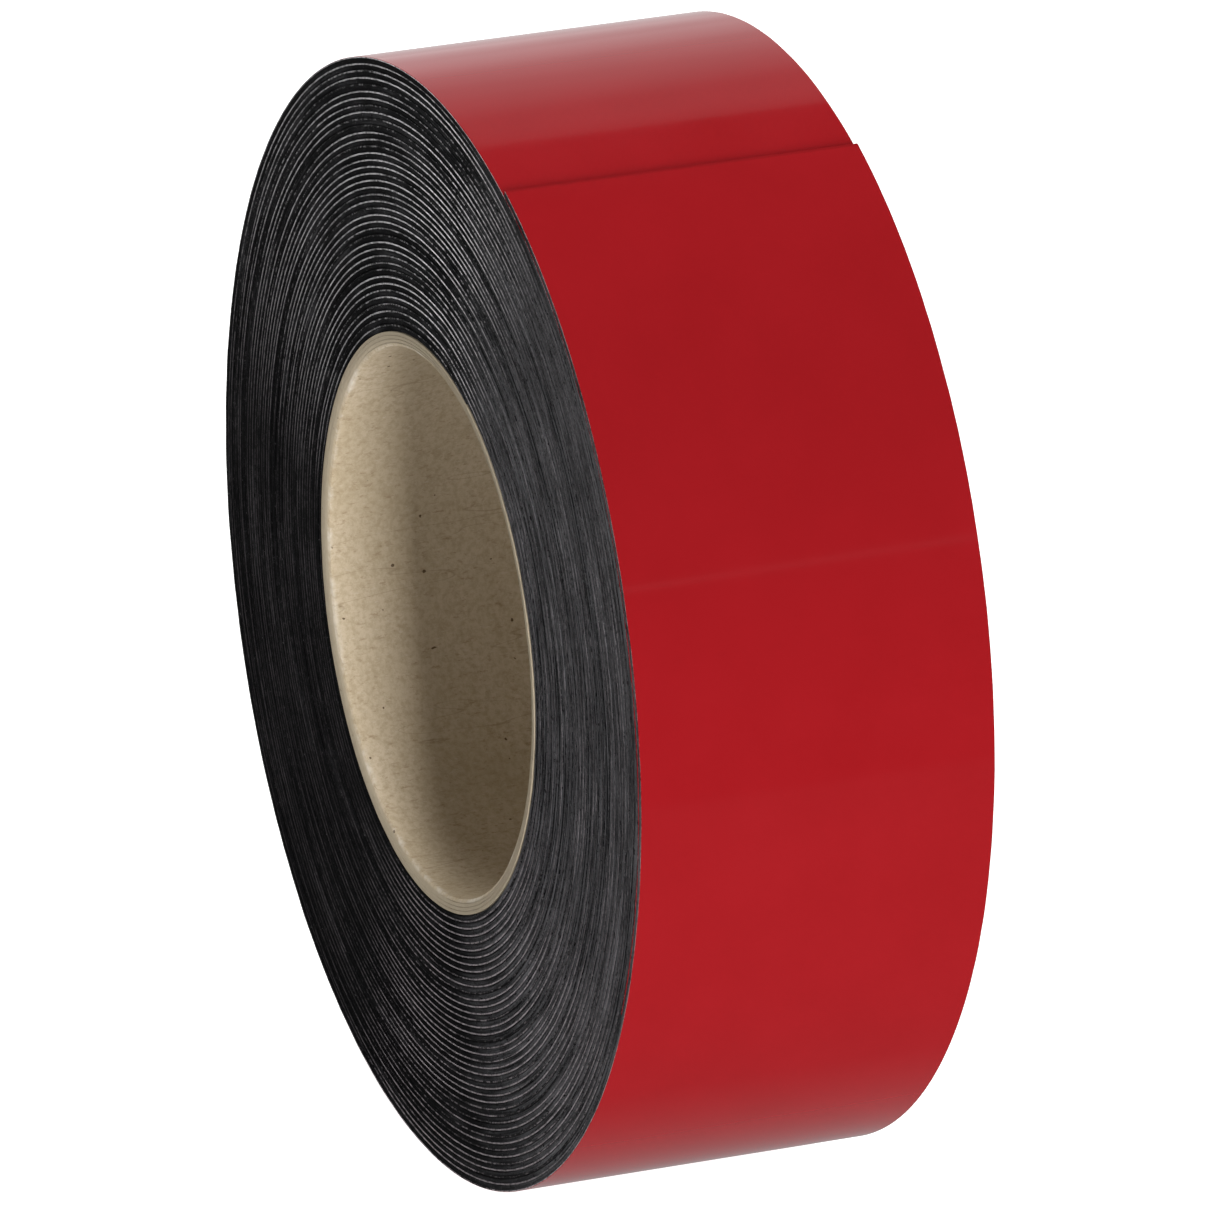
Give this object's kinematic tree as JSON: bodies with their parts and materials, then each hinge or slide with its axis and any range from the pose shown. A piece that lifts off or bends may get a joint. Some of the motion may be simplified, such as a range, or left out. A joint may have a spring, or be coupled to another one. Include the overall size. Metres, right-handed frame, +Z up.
{
  "type": "magnetic strip roll",
  "caption": "Roll of flexible magnetic strip with a glossy red facing, wound on a paperboard core, with a free end that peels away.",
  "frame": {"origin": "on the roll's axis, at the middle of the bore", "axes": "+Y along the roll's axis, away from the side that faces the viewer; +Z up, with the roll standing on its rim; the free end lies on the +X side near the top"},
  "size_m": [0.1567, 0.0508, 0.1562],
  "materials": {
    "core_board": "matt grey-tan chipboard",
    "start_tape": "thin double-sided tissue tape",
    "magnet_rubber": "matt black ferrite-filled rubber",
    "red_vinyl": "smooth glossy deep red vinyl film"
  },
  "bodies": {
    "roll": {"core_inner_ply": "core_board", "core_second_ply": "core_board", "core_third_ply": "core_board", "core_outer_ply": "core_board", "start_tape": "start_tape", "wound_magnet_inner_turns": "magnet_rubber", "wound_magnet_middle_turns": "magnet_rubber", "wound_magnet_outer_turns": "magnet_rubber", "wound_vinyl_facing": "red_vinyl", "outer_turn_vinyl": "red_vinyl"},
    "tail_1": {"tail_magnet_1": "magnet_rubber", "tail_vinyl_1": "red_vinyl"},
    "tail_2": {"tail_magnet_2": "magnet_rubber", "tail_vinyl_2": "red_vinyl"},
    "tail_3": {"tail_magnet_3": "magnet_rubber", "tail_vinyl_3": "red_vinyl"},
    "tail_4": {"tail_magnet_4": "magnet_rubber", "tail_vinyl_4": "red_vinyl"},
    "tail_5": {"tail_magnet_5": "magnet_rubber", "tail_vinyl_5": "red_vinyl"}
  },
  "joints": [
    {"name": "peel_1", "type": "hinge", "parent": "roll", "child": "tail_1", "pos_m": [0.07854, 0, -0.01034], "axis": [0, 1, 0], "range_deg": [0, 15]},
    {"name": "peel_2", "type": "hinge", "parent": "tail_1", "child": "tail_2", "pos_m": [0.07858, 0, 0.01035], "axis": [0, 1, 0], "range_deg": [0, 15]},
    {"name": "peel_3", "type": "hinge", "parent": "tail_2", "child": "tail_3", "pos_m": [0.07326, 0, 0.03035], "axis": [0, 1, 0], "range_deg": [0, 15]},
    {"name": "peel_4", "type": "hinge", "parent": "tail_3", "child": "tail_4", "pos_m": [0.06295, 0, 0.0483], "axis": [0, 1, 0], "range_deg": [0, 15]},
    {"name": "peel_5", "type": "hinge", "parent": "tail_4", "child": "tail_5", "pos_m": [0.04832, 0, 0.06298], "axis": [0, 1, 0], "range_deg": [0, 15]}
  ],
  "couplings": [
    {"joint": "peel_2", "follows": "peel_1", "ratio": 1},
    {"joint": "peel_3", "follows": "peel_1", "ratio": 1},
    {"joint": "peel_4", "follows": "peel_1", "ratio": 1},
    {"joint": "peel_5", "follows": "peel_1", "ratio": 1}
  ]
}
